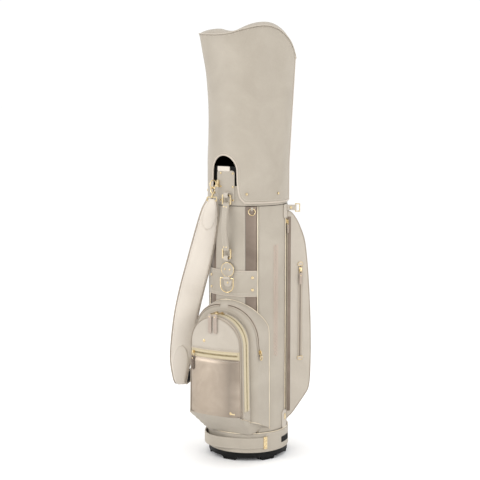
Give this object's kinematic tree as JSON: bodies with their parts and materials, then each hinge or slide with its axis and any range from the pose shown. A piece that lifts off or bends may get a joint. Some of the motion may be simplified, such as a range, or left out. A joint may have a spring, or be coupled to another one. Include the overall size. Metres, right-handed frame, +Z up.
{
  "type": "golf staff bag",
  "caption": "Upright golf bag with a divided top, zipped ball and side pockets, a carrying handle, a padded shoulder strap and a lift-off rain hood.",
  "frame": {"origin": "centre of the base on the ground", "axes": "+Z up along the bag, -Y to the front where the ball pocket is, +X to the side with the long side pocket"},
  "size_m": [0.3652, 0.3737, 1.2596],
  "materials": {
    "ivory_leather": "semi-matt grained synthetic leather",
    "champagne_leather": "crushed metallic, glossy",
    "bronze_leather": "satin metallic",
    "pull_leather": "soft matt",
    "black_plastic": "moulded, fine texture",
    "black_fabric": "woven, matt",
    "grey_board": "plain board",
    "steel_rod": "drawn",
    "gold_metal": "polished plated",
    "gold_piping": "glossy metallic",
    "zip_tape": "woven, satin"
  },
  "bodies": {
    "bag": {"anchor_tabs": "ivory_leather", "ball_pocket_lower": "ivory_leather", "ball_pocket_upper": "ivory_leather", "base_handle_belt": "ivory_leather", "base_plate": "black_plastic", "belt_band": "ivory_leather", "body_hardware": "gold_metal", "body_piping": "gold_piping", "body_shell": "grey_board", "body_zip_chains": "zip_tape", "bottom_collar": "ivory_leather", "cover_panels": "ivory_leather", "cuff_cover": "ivory_leather", "cuff_patch": "ivory_leather", "cuff_ring": "black_plastic", "cuff_strap_ring": "gold_metal", "divider_top": "black_plastic", "divider_walls": "black_fabric", "drain_vent": "black_plastic", "face_metallic": "champagne_leather", "face_rim": "ivory_leather", "face_upper": "ivory_leather", "face_zip_tape": "zip_tape", "floor_board": "grey_board", "handle_loops": "ivory_leather", "lower_zip_chains": "zip_tape", "metallic_strips": "bronze_leather", "pocket_top_tab": "ivory_leather", "ring_tab": "ivory_leather", "side_pocket": "ivory_leather", "stay_rods": "steel_rod", "stiffener_tube": "grey_board", "umbrella_strap": "ivory_leather", "upper_zip_chain": "zip_tape", "zip_end_patches": "ivory_leather"},
    "hood": {"hood_shell": "ivory_leather", "hood_binding": "ivory_leather", "hood_snaps": "gold_metal"},
    "handle": {"handle_rings": "gold_metal", "handle_grip": "ivory_leather"},
    "shoulder_strap": {"strap_pad": "ivory_leather", "strap_return_web": "ivory_leather", "strap_hook": "gold_metal", "strap_ring": "gold_metal"},
    "hook_gate": {"strap_hook_gate": "gold_metal"},
    "d_ring": {"d_ring": "gold_metal"},
    "towel_ring": {"towel_ring": "gold_metal"},
    "umbrella_loop": {"umbrella_loop": "gold_metal"},
    "face_zip_slider": {"face_zip_slider": "gold_metal"},
    "face_zip_pull": {"face_zip_pull": "pull_leather"},
    "lower_zip_slider": {"lower_zip_slider": "gold_metal"},
    "lower_zip_pull": {"lower_zip_pull": "gold_metal"},
    "side_zip_slider": {"side_zip_slider": "gold_metal"},
    "side_zip_pull": {"side_zip_pull": "pull_leather"},
    "long_zip_slider": {"long_zip_slider": "gold_metal"},
    "long_zip_pull": {"long_zip_pull": "pull_leather"},
    "upper_zip_slider_left": {"upper_zip_slider_left": "gold_metal"},
    "upper_zip_pull_left": {"upper_zip_pull_left": "pull_leather"},
    "upper_zip_slider_right": {"upper_zip_slider_right": "gold_metal"},
    "upper_zip_pull_right": {"upper_zip_pull_right": "pull_leather"}
  },
  "joints": [
    {"name": "hood_lift", "type": "slide", "parent": "bag", "child": "hood", "axis": [0, 0, 1], "range_m": [0, 0.2]},
    {"name": "strap_swing", "type": "hinge", "parent": "bag", "child": "shoulder_strap", "pos_m": [-0.12724, 0.01562, 0.33], "axis": [-0.176, 0.3032, -0.9365], "range_deg": [0, 30]},
    {"name": "hook_gate_turn", "type": "hinge", "parent": "shoulder_strap", "child": "hook_gate", "pos_m": [-0.03547, -0.1347, 0.78211], "axis": [-0.2946, -0.9556, 0], "range_deg": [0, 20], "stiffness_Nm_per_rad": 0.01, "springref_deg": -5.73},
    {"name": "handle_turn", "type": "hinge", "parent": "bag", "child": "handle", "pos_m": [0, -0.126, 0.686], "axis": [0, 0, 1], "range_deg": [-15, 15]},
    {"name": "d_ring_swing", "type": "hinge", "parent": "bag", "child": "d_ring", "pos_m": [0, -0.1257, 0.538], "axis": [-1, 0, 0], "range_deg": [0, 100]},
    {"name": "towel_ring_swing", "type": "hinge", "parent": "bag", "child": "towel_ring", "pos_m": [0.06643, -0.09849, 0.738], "axis": [-0.829, -0.5592, 0], "range_deg": [0, 80]},
    {"name": "umbrella_loop_turn", "type": "hinge", "parent": "bag", "child": "umbrella_loop", "pos_m": [0.13751, 0.03388, 0.7335], "axis": [0, 0, 1], "range_deg": [-60, 60]},
    {"name": "face_zip_slide", "type": "hinge", "parent": "bag", "child": "face_zip_slider", "pos_m": [0, 0.107, 0.331], "axis": [0, 0, 1], "range_deg": [0, 25.2]},
    {"name": "face_zip_pull_swing", "type": "hinge", "parent": "face_zip_slider", "child": "face_zip_pull", "pos_m": [-0.06887, -0.2011, 0.3296], "axis": [-0.9759, 0.2181, 0], "range_deg": [0, 90]},
    {"name": "upper_zip_slide_right", "type": "hinge", "parent": "bag", "child": "upper_zip_slider_right", "pos_m": [0, -0.165, 0.355], "axis": [0, 1, 0], "range_deg": [0, 82]},
    {"name": "upper_zip_pull_swing_right", "type": "hinge", "parent": "upper_zip_slider_right", "child": "upper_zip_pull_right", "pos_m": [0.00868, -0.169, 0.44518], "axis": [-1, 0, 0], "range_deg": [0, 100]},
    {"name": "upper_zip_slide_left", "type": "hinge", "parent": "bag", "child": "upper_zip_slider_left", "pos_m": [0, -0.165, 0.355], "axis": [0, -1, 0], "range_deg": [0, 82]},
    {"name": "upper_zip_pull_swing_left", "type": "hinge", "parent": "upper_zip_slider_left", "child": "upper_zip_pull_left", "pos_m": [-0.00868, -0.169, 0.44518], "axis": [-1, 0, 0], "range_deg": [0, 100]},
    {"name": "lower_zip_slide", "type": "slide", "parent": "bag", "child": "lower_zip_slider", "axis": [0, -0.1392, 0.9903], "range_m": [0, 0.035]},
    {"name": "lower_zip_pull_swing", "type": "hinge", "parent": "lower_zip_slider", "child": "lower_zip_pull", "pos_m": [0.1098, -0.12246, 0.33201], "axis": [0, -0.9903, -0.1392], "range_deg": [0, 90]},
    {"name": "side_zip_slide", "type": "slide", "parent": "bag", "child": "side_zip_slider", "axis": [0, 0, -1], "range_m": [0, 0.25]},
    {"name": "side_zip_pull_swing", "type": "hinge", "parent": "side_zip_slider", "child": "side_zip_pull", "pos_m": [0.14702, 0.05217, 0.549], "axis": [-0.7193, -0.6947, 0], "range_deg": [0, 90]},
    {"name": "long_zip_slide", "type": "slide", "parent": "bag", "child": "long_zip_slider", "axis": [0, 0, -1], "range_m": [0, 0.53]},
    {"name": "long_zip_pull_swing", "type": "hinge", "parent": "long_zip_slider", "child": "long_zip_pull", "pos_m": [0.11882, 0.02288, 0.693], "axis": [0.1891, -0.982, 0], "range_deg": [0, 90]}
  ]
}
